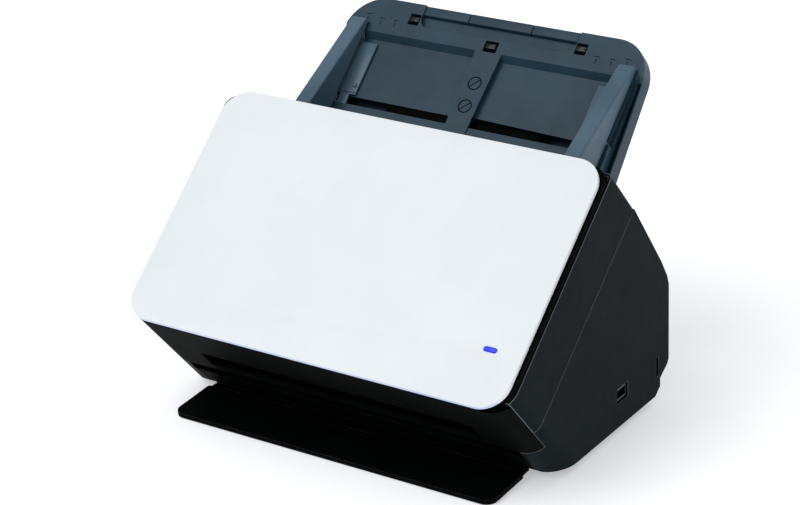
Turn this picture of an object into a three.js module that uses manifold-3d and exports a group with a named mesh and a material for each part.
// Sheet fed document scanner: a wedge shaped desktop unit with a hinged front
// unit, a steep feed tray at the back and a low output tray under the front.
// Millimetres, +Z up, +X to the right, the front faces -Y. The origin is the
// middle of the bounding box at table height.
//
// Turned frames:
//   front frame   (x, up, depth)  up runs up the front panel from its lower edge,
//                                 depth runs square to it, into the machine (local z = -depth)
//   tray frame    (x, up, out)    up runs up the feed tray, out points out of its face
//   output frame  (x, y, z)       on the output tray's hinge, tilted slightly
// Points in the front frame are written [up, depth].
import * as THREE from 'three';
import { mergeVertices } from 'three/addons/utils/BufferGeometryUtils.js';
import Module from 'manifold-3d';

const wasm = await Module();
wasm.setup();

// ---------------------------------------------------------------- dimensions
const GAP = 0.3;                   // between neighbouring covers
const WALL = 2.5;

const ORIGIN_Y = 135.33;           // middle of the depth, from the panel's lower edge
const PANEL_Z = 85.1;              // height of the panel's lower edge
const PANEL_TILT = Math.atan2(0.64184, 0.76684);   // 39.9 degrees from level
const PANEL_HALF_W = 153.5;
const PANEL_H = 185.5;
const PANEL_T = 3;
const PANEL_R = 20;

const BODY_HALF_W = 156.5;
const LINER_HALF_W = BODY_HALF_W - WALL - GAP;     // parts that fit inside the side covers
const CORNER_X = 138;              // the side covers turn under the body as far as this
const UNDER_UP = 2;                // underside plane of the body
const LOWER_R = 18;                // radius of the body's long lower corners
const LOWER_SEAM = 10;             // top of the lower front cover
const FRAME_BACK = 7;              // depth of the front frame's back face
const SHELL_BACK = 52.7;           // depth of the front unit shell's back edge
const SHELL_TOP = 182;
const COVER_FRONT = 53.1;          // depth of the fixed covers' front edge

const PIVOT_X = 128;
const PIVOT = [7.5, 5.15];         // front unit pivot
const BUTTON = { x: 129, up: 40.6 };
const SCAN_UP = 51;                // middle of both scan units

const TRAY_Y = 246.7;              // datum point on the feed tray's face
const TRAY_Z = 225.8;
const TRAY_TILT = 41.5 * Math.PI / 180;
const OUT_HINGE = { y: 66, z: 4.2 };
const OUT_TILT = 2.3 * Math.PI / 180;

// roller and gear centres, [up, depth]
const FEED = [114.5, 69.6];
const DRIVE = [84.2, 63.6];
const EJECT = [21, 63.6];
const IDLER_LOW = [52.6, 75.02];
const RETARD = [114.5, 42.2];
const PINCH_UP = [84.2, 46.1];
const PINCH_LOW = [21, 46.1];
const ROLLER_X = 50;               // middle of each outer roller
const SHAFT_R = 3;
const BORE_R = 3.1;
const SHAFT_X = [-137, 131];

// Gear teeth, module 1. The half widths are parts of the pitch.
const TOOTH = { above: 0.75, below: 1.1, rootHalf: 0.30, tipHalf: 0.115 };
const MESH_PLAY = 0.1;
const GEAR_X = [-135, -130];

// ------------------------------------------------------------------- helpers
const SIDES = [[-1, 'left'], [1, 'right']];
const around = (middle, half) => [middle - half, middle + half];
// x limits in rising order, for distances from the middle on one side
const span = (side, near, far) => [Math.min(side * near, side * far), Math.max(side * near, side * far)];

// front frame [up, depth] to the world's [y, z]
const panelCos = Math.cos(PANEL_TILT);
const panelSin = Math.sin(PANEL_TILT);
const frontYZ = (up, depth) => [
  panelCos * up + panelSin * depth, PANEL_Z + panelSin * up - panelCos * depth];
const frontToWorld = geometry => geometry.rotateX(PANEL_TILT).translate(0, 0, PANEL_Z);

function toSolid(geometry) {
  const bare = geometry.clone();
  bare.deleteAttribute('normal');
  bare.deleteAttribute('uv');
  const merged = mergeVertices(bare, 1e-4);
  return new wasm.Manifold(new wasm.Mesh({
    numProp: 3,
    vertProperties: new Float32Array(merged.attributes.position.array),
    triVerts: new Uint32Array(merged.index.array),
  }));
}
function toGeometry(manifold) {
  const mesh = manifold.getMesh();
  const geometry = new THREE.BufferGeometry();
  const positions = new Float32Array(mesh.vertProperties);
  geometry.setAttribute('position', new THREE.BufferAttribute(positions, 3));
  geometry.setIndex(new THREE.BufferAttribute(new Uint32Array(mesh.triVerts), 1));
  return geometry;
}
const combine = (method, first, others) => toGeometry(
  others.reduce((result, other) => result[method](toSolid(other)), toSolid(first)));
const cut = (first, ...others) => combine('subtract', first, others);
const join = (first, ...others) => combine('add', first, others);
const both = (first, other) => combine('intersect', first, [other]);

const polygon = points => new THREE.Shape(points.map(([x, y]) => new THREE.Vector2(x, y)));
function prism(shape, z0, z1, curveSegments = 6) {
  const geometry = new THREE.ExtrudeGeometry(shape,
    { depth: z1 - z0, bevelEnabled: false, curveSegments });
  return geometry.translate(0, 0, z0);
}
// turns a prism drawn in (y, z) so that it runs along x
const TO_X = new THREE.Matrix4().set(0, 0, 1, 0, 1, 0, 0, 0, 0, 1, 0, 0, 0, 0, 0, 1);
const alongX = (points, x0, x1) => prism(polygon(points), x0, x1).applyMatrix4(TO_X);
const frontAlongX = (points, x0, x1) =>
  alongX(points.map(([up, depth]) => [up, -depth]), x0, x1);

function box(x0, x1, y0, y1, z0, z1) {
  const geometry = new THREE.BoxGeometry(x1 - x0, y1 - y0, z1 - z0);
  return geometry.translate((x0 + x1) / 2, (y0 + y1) / 2, (z0 + z1) / 2);
}
const frontBox = (x0, x1, up0, up1, depth0, depth1) => box(x0, x1, up0, up1, -depth1, -depth0);

// cylinders along X, Y and Z
function rod(radius, x0, x1, y, z, segments) {
  const geometry = new THREE.CylinderGeometry(radius, radius, x1 - x0, segments);
  return geometry.rotateZ(Math.PI / 2).translate((x0 + x1) / 2, y, z);
}
const frontRod = (radius, x0, x1, [up, depth], segments) =>
  rod(radius, x0, x1, up, -depth, segments);
function rodY(radius, y0, y1, x, z, segments) {
  const geometry = new THREE.CylinderGeometry(radius, radius, y1 - y0, segments);
  return geometry.translate(x, (y0 + y1) / 2, z);
}
function disc(radius, z0, z1, x, y, segments) {
  const geometry = new THREE.CylinderGeometry(radius, radius, z1 - z0, segments);
  return geometry.rotateX(Math.PI / 2).translate(x, y, (z0 + z1) / 2);
}

function roundRect(x0, x1, y0, y1, upperR, lowerR = upperR) {
  const quarter = Math.PI / 2;
  const shape = new THREE.Shape();
  shape.moveTo(x0 + lowerR, y0);
  shape.lineTo(x1 - lowerR, y0);
  if (lowerR > 0) shape.absarc(x1 - lowerR, y0 + lowerR, lowerR, -quarter, 0);
  shape.lineTo(x1, y1 - upperR);
  if (upperR > 0) shape.absarc(x1 - upperR, y1 - upperR, upperR, 0, quarter);
  shape.lineTo(x0 + upperR, y1);
  if (upperR > 0) shape.absarc(x0 + upperR, y1 - upperR, upperR, quarter, Math.PI);
  shape.lineTo(x0, y0 + lowerR);
  if (lowerR > 0) shape.absarc(x0 + lowerR, y0 + lowerR, lowerR, Math.PI, Math.PI * 1.5);
  return shape;
}
// the body's section, square to the depth, set in from its sides and underside
const bodyOutline = (inset, top, upperR = 0) => roundRect(inset - BODY_HALF_W,
  BODY_HALF_W - inset, UNDER_UP + inset, top, upperR, LOWER_R - inset);

// closed outline of a polyline thickened to its left hand side
function thicken(line, thickness) {
  const normals = line.slice(1).map(([x, y], i) => {
    const dx = x - line[i][0];
    const dy = y - line[i][1];
    const length = Math.hypot(dx, dy);
    return [-dy / length, dx / length];
  });
  const offset = line.map(([x, y], i) => {
    const before = normals[Math.max(i - 1, 0)];
    const after = normals[Math.min(i, normals.length - 1)];
    const mitre = [before[0] + after[0], before[1] + after[1]];
    const scale = 2 / (mitre[0] * mitre[0] + mitre[1] * mitre[1]);
    return [x + mitre[0] * scale * thickness, y + mitre[1] * scale * thickness];
  });
  return [...line, ...offset.reverse()];
}

// --------------------------------------------------------- groups, materials
const root = new THREE.Group();
function addFrame(parent, y, z, tilt) {
  const frame = new THREE.Group();
  frame.position.set(0, y, z);
  frame.rotation.x = tilt;
  parent.add(frame);
  return frame;
}
const world = addFrame(root, -ORIGIN_Y, 0, 0);
const front = addFrame(world, 0, PANEL_Z, PANEL_TILT);
const tray = addFrame(world, TRAY_Y, TRAY_Z, TRAY_TILT);
const outTray = addFrame(world, OUT_HINGE.y, OUT_HINGE.z, OUT_TILT);

const MATERIALS = {
  white: { color: '#f0f2f5', roughness: 0.35, metalness: 0 },
  charcoal: { color: '#24282b', roughness: 0.55, metalness: 0 },
  black: { color: '#0b0c0d', roughness: 0.5, metalness: 0 },
  slate: { color: '#45525e', roughness: 0.5, metalness: 0 },
  gloss: { color: '#08090a', roughness: 0.15, metalness: 0 },
  blue: { color: '#2450e0', roughness: 0.3, metalness: 0 },
  rubber: { color: '#2a2a2c', roughness: 0.9, metalness: 0 },
  steel: { color: '#a8abad', roughness: 0.35, metalness: 0.9 },
  glass: { color: '#a9c3c8', roughness: 0.05, metalness: 0 },
  board: { color: '#1f5c38', roughness: 0.6, metalness: 0 },
  acetal: { color: '#d9d6cc', roughness: 0.5, metalness: 0 },
};
function add(group, name, geometry, material) {
  const mesh = new THREE.Mesh(geometry, new THREE.MeshStandardMaterial(MATERIALS[material]));
  mesh.name = name;
  group.add(mesh);
}

// ------------------------------------------------------------ the front unit
const buttonOutline = (halfW, halfH) => roundRect(
  ...around(BUTTON.x, halfW), ...around(BUTTON.up, halfH), halfH);

function frontPanel() {
  const outline = roundRect(-PANEL_HALF_W, PANEL_HALF_W, 0, PANEL_H, PANEL_R);
  outline.holes.push(new THREE.Path(buttonOutline(5.1, 2.2).getPoints(4)));
  return prism(outline, -PANEL_T, 0, 8);
}

// ring behind the panel with notches and holes for the two pivots
function frontFrame() {
  const outline = roundRect(-155.6, 155.6, 4, 183, 12, 20);
  outline.holes.push(new THREE.Path(roundRect(-140, 140, 18, 170, 8).getPoints(4)));
  const cuts = [-PIVOT_X, PIVOT_X].flatMap(x => [
    box(...around(x, 2.4), 0, 14, -8, 0),
    frontRod(1.5, ...around(x, 7), PIVOT, 12),
  ]);
  return cut(prism(outline, -FRAME_BACK, -(PANEL_T + GAP)), ...cuts);
}

// side walls and top of the front unit: a tube with the hopper cut into its top
function frontUnitShell() {
  return cut(
    prism(bodyOutline(0, SHELL_TOP, 4), -SHELL_BACK, -(FRAME_BACK + GAP), 8),
    prism(bodyOutline(WALL, SHELL_TOP - WALL, 1.6), -80, 0, 8),
    frontBox(-160, 160, 0, LOWER_SEAM + GAP, 0, 90),
    frontBox(-124, 124, 170, 190, 17, 60),             // hopper mouth
    frontBox(-158, -150, 136.5, 166.5, 34.6, 47.4),    // release lever window
    frontBox(-142, 142, 8, 14, 37, 56));               // open above the paper exit
}

const releaseLever = () => join(
  frontBox(-155.6, -153.2, 137.2, 160.6, 35.2, 46.8),
  frontBox(-156.5, -155.5, 140, 143, 36, 46));         // finger ridge on its outer face

const scanBox = (halfW, halfUp, depth0, depth1) =>
  frontBox(-halfW, halfW, ...around(SCAN_UP, halfUp), depth0, depth1);
const scanWindow = (depth0, depth1) => scanBox(110.4, 9.2, depth0, depth1);
const scanGlass = (depth0, depth1) => scanBox(110, 8.7, depth0, depth1);

// inner moulding: hopper front wall above, flat paper guide below
function frontPaperGuide() {
  const centreLine = [[13, 50.6], [112, 50.6], [181.5, 18]];
  const cheek = [[181.5, 18.4], [181.5, 52.4], [110, 52.4], [110, 50.9]];
  const parts = [];
  const cuts = [frontBox(-23, 23, 102.4, 127, 20, 76), scanWindow(45, 56)];
  for (const side of [-1, 1]) {
    parts.push(
      frontAlongX(cheek, ...span(side, 121, 123)),
      frontBox(...span(side, 121, 123), 13.2, 181.3, 46.6, 52.4),
      frontBox(...span(side, 122.5, 147.5), 13.3, 179, 46.4, 48.4),
      frontBox(...span(side, 147, 152.8), 17.5, 173.4, 46.4, 48.4));
    // brackets for the pinch rollers and the retard shaft
    for (const centre of [PINCH_UP, PINCH_LOW]) {
      for (const x of around(side * ROLLER_X, 13)) {
        parts.push(cut(
          frontBox(...around(x, 1.5), ...around(centre[0], 5), 41, 51.2),
          frontRod(2.3, ...around(x, 3), centre, 12)));
      }
    }
    parts.push(cut(
      frontBox(...around(side * 27, 1.5), RETARD[0] - 16, RETARD[0] + 6, 37, 51.2),
      frontRod(3.3, ...around(side * 27, 3), RETARD, 12)));
    for (const [up0, up1] of [[76.6, 91.8], [10.5, 28.6]]) {
      cuts.push(frontBox(...around(side * ROLLER_X, 11), up0, up1, 45, 56));
    }
  }
  cuts.push(frontRod(3.3, -30, 30, RETARD, 12));
  return cut(join(frontAlongX(thicken(centreLine, 2), -122, 122), ...parts), ...cuts);
}

const boredRoller = (radius, x0, x1, centre, segments) => cut(
  frontRod(radius, x0, x1, centre, segments), frontRod(BORE_R, -80, 80, centre, 16));
// two rollers in one piece with their shaft
const rollerPair = (shaft, radius, halfLength, centre, segments) => join(shaft,
  ...[-1, 1].map(side =>
    frontRod(radius, ...around(side * ROLLER_X, halfLength), centre, segments)));

add(front, 'front_panel', frontPanel(), 'white');
add(front, 'power_button', prism(buttonOutline(4.7, 1.8), -6.4, 0.2, 4), 'blue');
add(front, 'front_frame', frontFrame(), 'black');
add(front, 'front_unit_shell', frontUnitShell(), 'charcoal');
add(front, 'release_lever', releaseLever(), 'gloss');
add(front, 'front_paper_guide', frontPaperGuide(), 'black');
add(front, 'front_scan_unit', cut(scanBox(112, 11, 32, 50.2), scanBox(106, 5, 40, 52)), 'black');
add(front, 'front_scan_glass', scanGlass(50.5, 52.4), 'glass');
add(front, 'button_board', frontBox(112, 146, 32, 49, 8.2, 9.8), 'board');
add(front, 'retard_shaft', frontRod(SHAFT_R, -31, 31, RETARD, 16), 'steel');
add(front, 'retard_roller', boredRoller(11, -20, 20, RETARD, 28), 'rubber');
for (const [centre, place] of [[PINCH_UP, 'upper'], [PINCH_LOW, 'lower']]) {
  const shaft = frontRod(2, -66, 66, centre, 12);
  add(front, `pinch_roller_${place}`, rollerPair(shaft, 7.1, 9, centre, 20), 'acetal');
}

// -------------------------------------------------------------- fixed covers
// World [y, z] points. The underside runs from the front to the rear step,
// the back from that step up to the top edge.
const UNDERSIDE = [[69.4, 6.0], [201.5, 5.6], [208.8, 10.8], [208.8, 17.2]];
const BACK = [
  [219.4, 24.0], [221.3, 27.2], [221.6, 84.7], [219.1, 92.4], [210.7, 106.7], [194.4, 129.9],
  frontYZ(181, COVER_FRONT),
];
const SOCKET = { x: -12, z: 38 };

// shallow pan with rounded side edges, open to the paper exit
function lowerFrontCover() {
  const frontDepth = 10.6;
  const backDepth = 74;
  const plan = roundRect(-BODY_HALF_W - 1, BODY_HALF_W + 1, -80, -frontDepth, 9, 0);
  const pan = cut(
    prism(bodyOutline(0, 60), -backDepth, -frontDepth, 8),
    frontBox(-160, 160, LOWER_SEAM - 0.2, 70, 0, 90));
  let cover = cut(
    both(pan, prism(plan, -14, 0, 5).rotateX(Math.PI / 2)),
    prism(bodyOutline(WALL, 60), WALL - backDepth, -frontDepth - WALL, 8),
    frontBox(-112, 112, -2, 12, 47, 66));
  // ears that carry the pivot pins
  for (const x of [-PIVOT_X, PIVOT_X]) {
    cover = join(cover,
      frontRod(2.02, ...around(x, 2), PIVOT, 24),
      frontBox(...around(x, 2), ...around(PIVOT[0], 2), PIVOT[1], 12));
  }
  return cut(cover,
    ...[-PIVOT_X, PIVOT_X].map(x => frontRod(1.45, ...around(x, 3), PIVOT, 12)),
    frontBox(-136.5, -128.5, 9, 12, 71, 72.6));        // relief for the eject gear's teeth
}

function sideCover(side) {
  const seam = LOWER_SEAM + GAP;
  const outline = [
    frontYZ(seam, COVER_FRONT), frontYZ(seam, 74.4), frontYZ(UNDER_UP, 74.4),
    ...UNDERSIDE, ...BACK,
  ];
  const bodyTube = inset => frontToWorld(prism(bodyOutline(inset, 400), -300, 0, 8));
  const slab = alongX(outline, ...span(side, CORNER_X, BODY_HALF_W));
  const cover = cut(both(slab, bodyTube(0)), bodyTube(WALL));
  if (side < 0) return cover;
  return cut(cover,
    box(150, 160, 147.2, 162.2, 24.6, 35.8),           // USB A port
    box(150, 160, 203.2, 206.2, 20.2, 35.2));          // upright slot near the back
}

function rearCover() {
  // slots for the feed tray's hooks
  const hookSlots = [-1, 1].map(side =>
    box(...span(side, 82.5, 101.5), -116, -88, -17.6, -10.4)
      .rotateX(TRAY_TILT).translate(0, TRAY_Y, TRAY_Z));
  return cut(
    alongX(thicken([[210.6, 17.9], ...BACK], WALL), -LINER_HALF_W, LINER_HALF_W),
    ...hookSlots,
    box(-78.4, -61.6, 215, 225, 31.6, 46.4),           // network port
    box(-44.3, -31.7, 215, 225, 31.6, 43.4),           // USB B port
    rodY(5.6, 214, 226, SOCKET.x, SOCKET.z, 16));
}

// floor, rear step and the slope under the paper exit
function basePan() {
  const line = [frontYZ(UNDER_UP, 84.6), ...UNDERSIDE];
  const limits = join(
    box(-CORNER_X + GAP, CORNER_X - GAP, 0, 300, 0, 60),
    frontToWorld(prism(bodyOutline(WALL + GAP, 400), -300, 0, 8)));
  return join(
    both(alongX(thicken(line, WALL), -LINER_HALF_W, LINER_HALF_W), limits),
    box(-131, 131, 70, 72, 2.6, 7));                   // skirt behind the output tray
}

add(front, 'lower_front_cover', lowerFrontCover(), 'black');
for (const [side, name] of SIDES) add(world, `side_cover_${name}`, sideCover(side), 'charcoal');
add(world, 'rear_cover', rearCover(), 'charcoal');
add(world, 'base_pan', basePan(), 'black');
for (const [side, name] of SIDES) {
  for (const [y, place] of [[86, 'front'], [192, 'rear']]) {
    add(world, `foot_${place}_${name}`, disc(8, 0, 5.3, side * 132, y, 20), 'rubber');
  }
}
for (const [side, name] of SIDES) {
  const pin = frontRod(1.3, ...around(side * PIVOT_X, 6), PIVOT, 12);
  add(front, `pivot_pin_${name}`, pin, 'steel');
}

// ----------------------------------------------------- inside the main body
function rearPaperGuide() {
  const cuts = [frontBox(-23, 23, 102, 127, 50, 60), scanWindow(50, 60)];
  for (const side of [-1, 1]) {
    for (const [up0, up1] of [[75.4, 93], [8, 30.5]]) {
      cuts.push(frontBox(...around(side * ROLLER_X, 11.5), up0, up1, 50, 60));
    }
  }
  return cut(frontBox(-122.5, 122.5, 12.5, 177.6, 54.8, 56.8), ...cuts);
}
add(front, 'rear_paper_guide', rearPaperGuide(), 'black');
add(front, 'rear_scan_unit', cut(scanBox(112, 11, 57.2, 71.4), scanBox(106, 5, 55, 66)), 'black');
add(front, 'rear_scan_glass', scanGlass(54.9, 56.8), 'glass');

// spur gear outline with one tooth centred on the angle phase
function gearOutline(teeth, phase, boreR) {
  const tip = teeth / 2 + TOOTH.above;
  const base = teeth / 2 - TOOTH.below;
  const pitch = Math.PI * 2 / teeth;
  const corners = [
    [base, -TOOTH.rootHalf], [tip, -TOOTH.tipHalf], [tip, TOOTH.tipHalf], [base, TOOTH.rootHalf]];
  const points = [];
  for (let i = 0; i < teeth; i++) {
    for (const [radius, part] of corners) {
      const angle = phase + i * pitch + part * pitch;
      points.push([radius * Math.cos(angle), radius * Math.sin(angle)]);
    }
  }
  const outline = polygon(points);
  if (boreR) {
    const hole = new THREE.Path();
    hole.absarc(0, 0, boreR, 0, Math.PI * 2, true);
    outline.holes.push(hole);
  }
  return outline;
}
// a gear whose phase meshes with its parent's
function meshedGear(parent, centre, teeth) {
  const bearing = Math.atan2(parent.centre[1] - centre[1], centre[0] - parent.centre[0]);
  const pitch = 2 * Math.PI / parent.teeth;
  let lead = (bearing - parent.phase) % pitch;
  if (lead > pitch / 2) lead -= pitch;
  if (lead < -pitch / 2) lead += pitch;
  const phase = bearing + Math.PI + lead * parent.teeth / teeth + Math.PI / teeth;
  return { centre, teeth, phase };
}
const gearSpacing = (teethA, teethB) => (teethA + teethB) / 2 + MESH_PLAY;
// the crossing of two circles that lies deeper in the machine
function circlesMeet(centreA, radiusA, centreB, radiusB) {
  const dx = centreB[0] - centreA[0];
  const dy = centreB[1] - centreA[1];
  const apart = Math.hypot(dx, dy);
  const along = (radiusA * radiusA - radiusB * radiusB + apart * apart) / (2 * apart);
  const across = Math.sqrt(radiusA * radiusA - along * along);
  return [
    centreA[0] + along * dx / apart - across * dy / apart,
    centreA[1] + along * dy / apart + across * dx / apart,
  ];
}

const TEETH = { drive: 26, eject: 26, low: 41, feed: 32, up: 26, motor: 12 };
const IDLER_UP = circlesMeet(DRIVE, gearSpacing(TEETH.drive, TEETH.up),
  FEED, gearSpacing(TEETH.feed, TEETH.up));
const MOTOR = [IDLER_LOW[0], IDLER_LOW[1] + gearSpacing(TEETH.low, TEETH.motor)];
const driveGear = { centre: DRIVE, teeth: TEETH.drive, phase: 0 };
const lowerIdler = meshedGear(driveGear, IDLER_LOW, TEETH.low);
const ejectGear = meshedGear(lowerIdler, EJECT, TEETH.eject);
const upperIdler = meshedGear(driveGear, IDLER_UP, TEETH.up);
const feedGear = meshedGear(upperIdler, FEED, TEETH.feed);
const motorGear = meshedGear(lowerIdler, MOTOR, TEETH.motor);

const gear = ({ centre, teeth, phase }, boreR = 0) =>
  prism(gearOutline(teeth, phase, boreR), ...GEAR_X, 8)
    .applyMatrix4(TO_X).translate(0, centre[0], -centre[1]);
const driveShaft = centre => frontRod(SHAFT_R, ...SHAFT_X, centre, 16);

for (const [name, wheel] of [['feed', feedGear], ['drive', driveGear]]) {
  add(front, `${name}_shaft`, driveShaft(wheel.centre), 'steel');
  add(front, `${name}_gear`, gear(wheel, BORE_R), 'acetal');
}
add(front, 'feed_roller', boredRoller(16, -21, 21, FEED, 32), 'rubber');
for (const [side, name] of SIDES) {
  const roller = boredRoller(10, ...around(side * ROLLER_X, 10), DRIVE, 28);
  add(front, `drive_roller_${name}`, roller, 'rubber');
}
add(front, 'eject_roller', rollerPair(driveShaft(EJECT), 10, 10, EJECT, 28), 'rubber');
add(front, 'eject_gear', gear(ejectGear, BORE_R), 'acetal');
for (const [name, wheel] of [['upper', upperIdler], ['lower', lowerIdler]]) {
  const stub = frontRod(SHAFT_R, -137, -125, wheel.centre, 16);
  add(front, `idler_gear_${name}`, join(gear(wheel), stub), 'acetal');
}
add(front, 'motor_pinion', join(gear(motorGear), frontRod(1.8, -136, -125.9, MOTOR, 12)), 'steel');
add(front, 'drive_motor', frontRod(16, -125.4, -97, MOTOR, 28), 'steel');

// plates that carry the shafts; the left one also carries the idlers and the motor
function sideFrame(side) {
  const outline = [                                    // [up, depth]
    [13, 57], [13, 84], [34, 116], [72, 116], [108, 104], [128, 92], [128, 61], [122, 57]];
  const holes = [FEED, DRIVE, EJECT].map(centre => frontRod(3.2, -140, 140, centre, 16));
  if (side < 0) {
    holes.push(
      frontRod(2.2, -140, 0, MOTOR, 12),
      frontRod(3.2, -140, 0, IDLER_UP, 12),
      frontRod(3.2, -140, 0, IDLER_LOW, 12));
  }
  return cut(frontAlongX(outline, ...span(side, 126, 128)), ...holes);
}
for (const [side, name] of SIDES) add(front, `side_frame_${name}`, sideFrame(side), 'steel');

const rearPort = (x0, x1, top, mouthTop) => cut(
  box(x0, x1, 205, 220.8, 32, top), box(x0 + 2, x1 - 2, 210, 224, 34, mouthTop));
const powerSocket = () => cut(
  rodY(5.2, 205, 220.8, SOCKET.x, SOCKET.z, 20), rodY(3.2, 212, 226, SOCKET.x, SOCKET.z, 16));
const usbAPort = () => cut(
  box(139, 155.3, 147.6, 161.8, 25.0, 35.4), box(145, 160, 149, 160.4, 27.2, 33.2));
add(world, 'main_board', box(-100, 60, 203, 204.6, 26, 92), 'board');
add(world, 'network_port', rearPort(-78, -62, 46, 43), 'steel');
add(world, 'usb_b_port', rearPort(-44, -32, 43, 41), 'steel');
add(world, 'power_socket', powerSocket(), 'black');
add(world, 'usb_a_port', usbAPort(), 'steel');

// --------------------------------------------------------------- feed tray
const TRAY_HALF_W = 124;
const TRAY_TOP = 23.5;
const TRAY_R = 28.5;
const TRAY_TOP_T = 9.6;            // thickness at the top edge
const TRAY_TAPER = 0.122;          // growth in thickness downwards
const RECESS_HALF_W = 64.6;        // recess for the extension
const PINION_UP = -76;
const PINION_TEETH = 16;
const PINION_R = PINION_TEETH / 2;
const GUIDE_NEAR = 105;            // guide web, near and far from the middle
const GUIDE_FAR = 117.5;
const FOOT_NEAR = 92.2;            // near edge of the guide's foot
// the tray's back face at a place up the tray
const backFace = up => -(TRAY_TOP_T + TRAY_TAPER * (TRAY_TOP - up));

function feedTray() {
  const top = TRAY_TOP + 1;
  const blank = both(
    prism(roundRect(-TRAY_HALF_W, TRAY_HALF_W, -110, TRAY_TOP, TRAY_R, 0), -32, 0, 8),
    alongX([[top, 0.5], [-97.8, 0.5], [-100.7, -25.9], [top, backFace(top)]], -130, 130));
  // the hollow, open at the back
  const hollow = both(
    prism(roundRect(-117.5, 117.5, -120, TRAY_TOP - 3, TRAY_R - 8, 0), -40, -1.9),
    alongX([[TRAY_TOP, -5.8], [-57.6, -5.8], [-57.6, -2.2], [-95, -2.2], [-97.6, -25],
      [-97.6, -40], [TRAY_TOP, -40]], -130, 130));
  const cuts = [hollow, box(-RECESS_HALF_W, RECESS_HALF_W, 14, 60, -8.5, -5.7)];
  for (const side of [-1, 1]) {
    const recessPlan = [[10.9, 0], [9.2, -58], [123, -58], [123, 0]].map(([x, y]) => [side * x, y]);
    const groove = [[-6, 1], [-6, backFace(-6) + 3.2], [-110, backFace(-110) + 3.2], [-110, 1]];
    cuts.push(
      both(                                                     // paper recess
        alongX([[-4.5, 1], [-4.5, 0], [-9, -4.6], [-57, -4.6], [-57, 1]], ...span(side, 5, 122.8)),
        prism(polygon(recessPlan), -6, 2)),
      box(...span(side, 9.2, 112), -64.5, -56.5, -7, 1),        // upper slot
      box(...span(side, 9.0, 122.8), -93, -64, -1, 1),          // crossbar, a little low
      box(...span(side, 12.0, 112), -91.8, -85.4, -7, 1),       // lower slot
      alongX(groove, ...span(side, 120, 122.8)),                // groove inside the rim
      alongX([[-1, 1], [-1, 0], [-6.5, -3.4], [-110, -13.3], [-110, 1]],
        ...span(side, 120, 126)),                               // the rim falls away
      box(...span(side, 64.9, 74.1), 5.9, 15.1, -4.3, 1));      // side catch pocket
  }
  cuts.push(
    box(-5.6, 5.6, -4.6, 4.4, -4.3, 1),                         // centre catch pocket
    prism(roundRect(-RECESS_HALF_W, RECESS_HALF_W, 5, 60, 0, 9), -3.9, 1, 5),
    box(-RECESS_HALF_W, RECESS_HALF_W, 15.2, 60, -7.2, 1));     // passage for the grip
  return join(cut(blank, ...cuts),
    disc(3, -4.8, -1.7, 0, PINION_UP, 16),                      // peg for the pinion
    // hooks that drop into the rear cover
    ...[-1, 1].map(side => box(...span(side, 84, 100), -112, -95, -16.8, -11.2)));
}

function feedTrayBack() {
  const plan = roundRect(-117.1, 117.1, -96.5, TRAY_TOP - 3.4, TRAY_R - 8.4, 0);
  const bottom = -97;
  const sheet = [
    [TRAY_TOP, backFace(TRAY_TOP)], [TRAY_TOP, backFace(TRAY_TOP) + 1.2],
    [bottom, backFace(bottom) + 1.2], [bottom, backFace(bottom)]];
  return both(prism(plan, -40, 0), alongX(sheet, -130, 130));
}

const extensionCatch = (x, up) => alongX([
  [up - 3.6, -4.0], [up + 3.6, -4.0], [up + 3.6, -1.2],
  [up + 1.6, 0.6], [up - 0.6, 0.6], [up - 3.6, -2.0]], ...around(x, 4.2));

// tongue in the tray with a two part grip on its end
const feedExtension = () => cut(
  join(
    box(-64, 64, -90, 23.2, -8, -6.1),
    ...[-1, 1].map(side => box(...span(side, 26.5, 64), 15.6, 23.2, -6.2, -0.5))),
  box(-26.3, 26.3, -86, 60, -7.2, 5));
const extensionCentre = () => join(
  box(-26, 26, -84, 23.2, -7, -6.1), box(-26, 26, 15.6, 23.2, -6.2, -0.5));

// front frame [up, depth] to the tray frame's [up, out]
function frontToTray(up, depth) {
  const [y, z] = frontYZ(up, depth);
  const dy = y - TRAY_Y;
  const dz = z - TRAY_Z;
  const cos = Math.cos(TRAY_TILT);
  const sin = Math.sin(TRAY_TILT);
  return [dy * cos + dz * sin, -dy * sin + dz * cos];
}

// place 1: rack above the pinion, teeth down; place -1: rack below, teeth up
function rackOutline(place, back, x0, x1) {
  const base = PINION_UP + place * (PINION_R + 1.25);
  const tip = PINION_UP + place * (PINION_R - TOOTH.above);
  const pitch = Math.PI;
  const points = [[x0, back], [x0, base]];
  for (let i = Math.ceil((x0 + 1) / pitch); i * pitch < x1 - 1; i++) {
    const x = i * pitch;
    points.push(
      [x - TOOTH.rootHalf * pitch, base], [x - TOOTH.tipHalf * pitch, tip],
      [x + TOOTH.tipHalf * pitch, tip], [x + TOOTH.rootHalf * pitch, base]);
  }
  points.push([x1, base], [x1, back]);
  return points;
}

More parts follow.
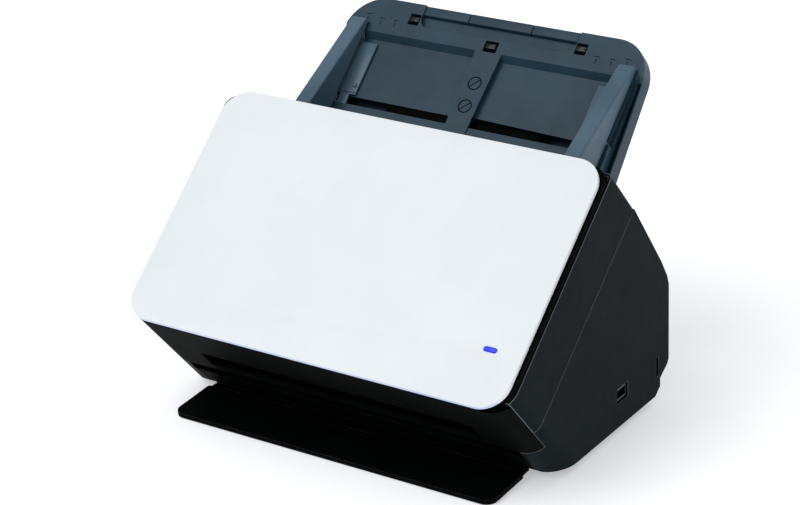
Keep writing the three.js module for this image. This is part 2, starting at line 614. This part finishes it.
// a tall web, a foot on the tray and a toothed rack under its face
function guide(side) {
  const web = [                                        // [up, out]
    [2.2, 0.5], [3.4, 3.6], [1.2, 6.4], [-4, 7.5],
    frontToTray(184.2, 22.9), frontToTray(180, 25.4), frontToTray(126, 50.0),
    [frontToTray(122, 54)[0], 0.6],
    [-56.2, 0.5], [-56.2, -4.3], [-9.9, -4.3], [-5.2, 0.5]];
  const isLeft = side < 0;                             // the left guide has the upper rack
  const back = isLeft ? -64.9 : -91.2;
  const footX = span(side, FOOT_NEAR, GUIDE_NEAR + 2);
  const linkX = span(side, 97, 105);
  return join(
    alongX(web, ...span(side, GUIDE_NEAR, GUIDE_FAR)),
    box(...footX, -55.8, -12.8, -4.3, -2.5),
    box(...footX, -94, -84, 0.5, 2.0),
    prism(polygon(rackOutline(-side, back, ...span(side, -3, 106))), -4.5, -2.5),
    isLeft ? box(...linkX, -66, -50, -4.3, -2.5) : box(...linkX, back, -86.2, -3.5, 1.5));
}

function guidePinion() {
  const phase = Math.PI / 2 + Math.PI / PINION_TEETH;
  return prism(gearOutline(PINION_TEETH, phase, 3.2), -4.6, -2.2, 8).translate(0, PINION_UP, 0);
}

add(tray, 'feed_tray', feedTray(), 'slate');
add(tray, 'feed_tray_back', feedTrayBack(), 'slate');
for (const [name, x, up] of [['left', -69.5, 10.5], ['right', 69.5, 10.5], ['centre', 0, 0]]) {
  add(tray, `extension_catch_${name}`, extensionCatch(x, up), 'gloss');
}
add(tray, 'feed_extension', feedExtension(), 'slate');
add(tray, 'feed_extension_centre', extensionCentre(), 'slate');
for (const [side, name] of SIDES) add(tray, `guide_${name}`, guide(side), 'slate');
add(tray, 'guide_pinion', guidePinion(), 'acetal');

// -------------------------------------------------------------- output tray
function outputTray() {
  const plate = join(
    prism(roundRect(-132.5, 132.5, -45.3, -3, 2, 8), -1.7, 1.7, 5),
    ...[-1, 1].flatMap(side => [                       // hinge rods and their webs
      rod(1.9, ...span(side, 60, 120), 0, 0, 16),
      box(...span(side, 60, 120), -5, 0, -1, 1),
    ]),
    box(-131, 131, -5, 3, -1.5, 0.7));
  return cut(plate,
    box(-39, 39, -60, -6, -0.9, 0.9),                  // pocket for the extension
    prism(roundRect(-21, 21, -33, -7, 4), 0.5, 3, 4));
}
const outputExtension = () => join(
  box(-38.4, 38.4, -45.0, -7, -0.55, 0.55), box(-15, 15, -10.2, -8.2, 0, 1.5));
add(outTray, 'output_tray', outputTray(), 'black');
add(outTray, 'output_extension', outputExtension(), 'black');

export default root;
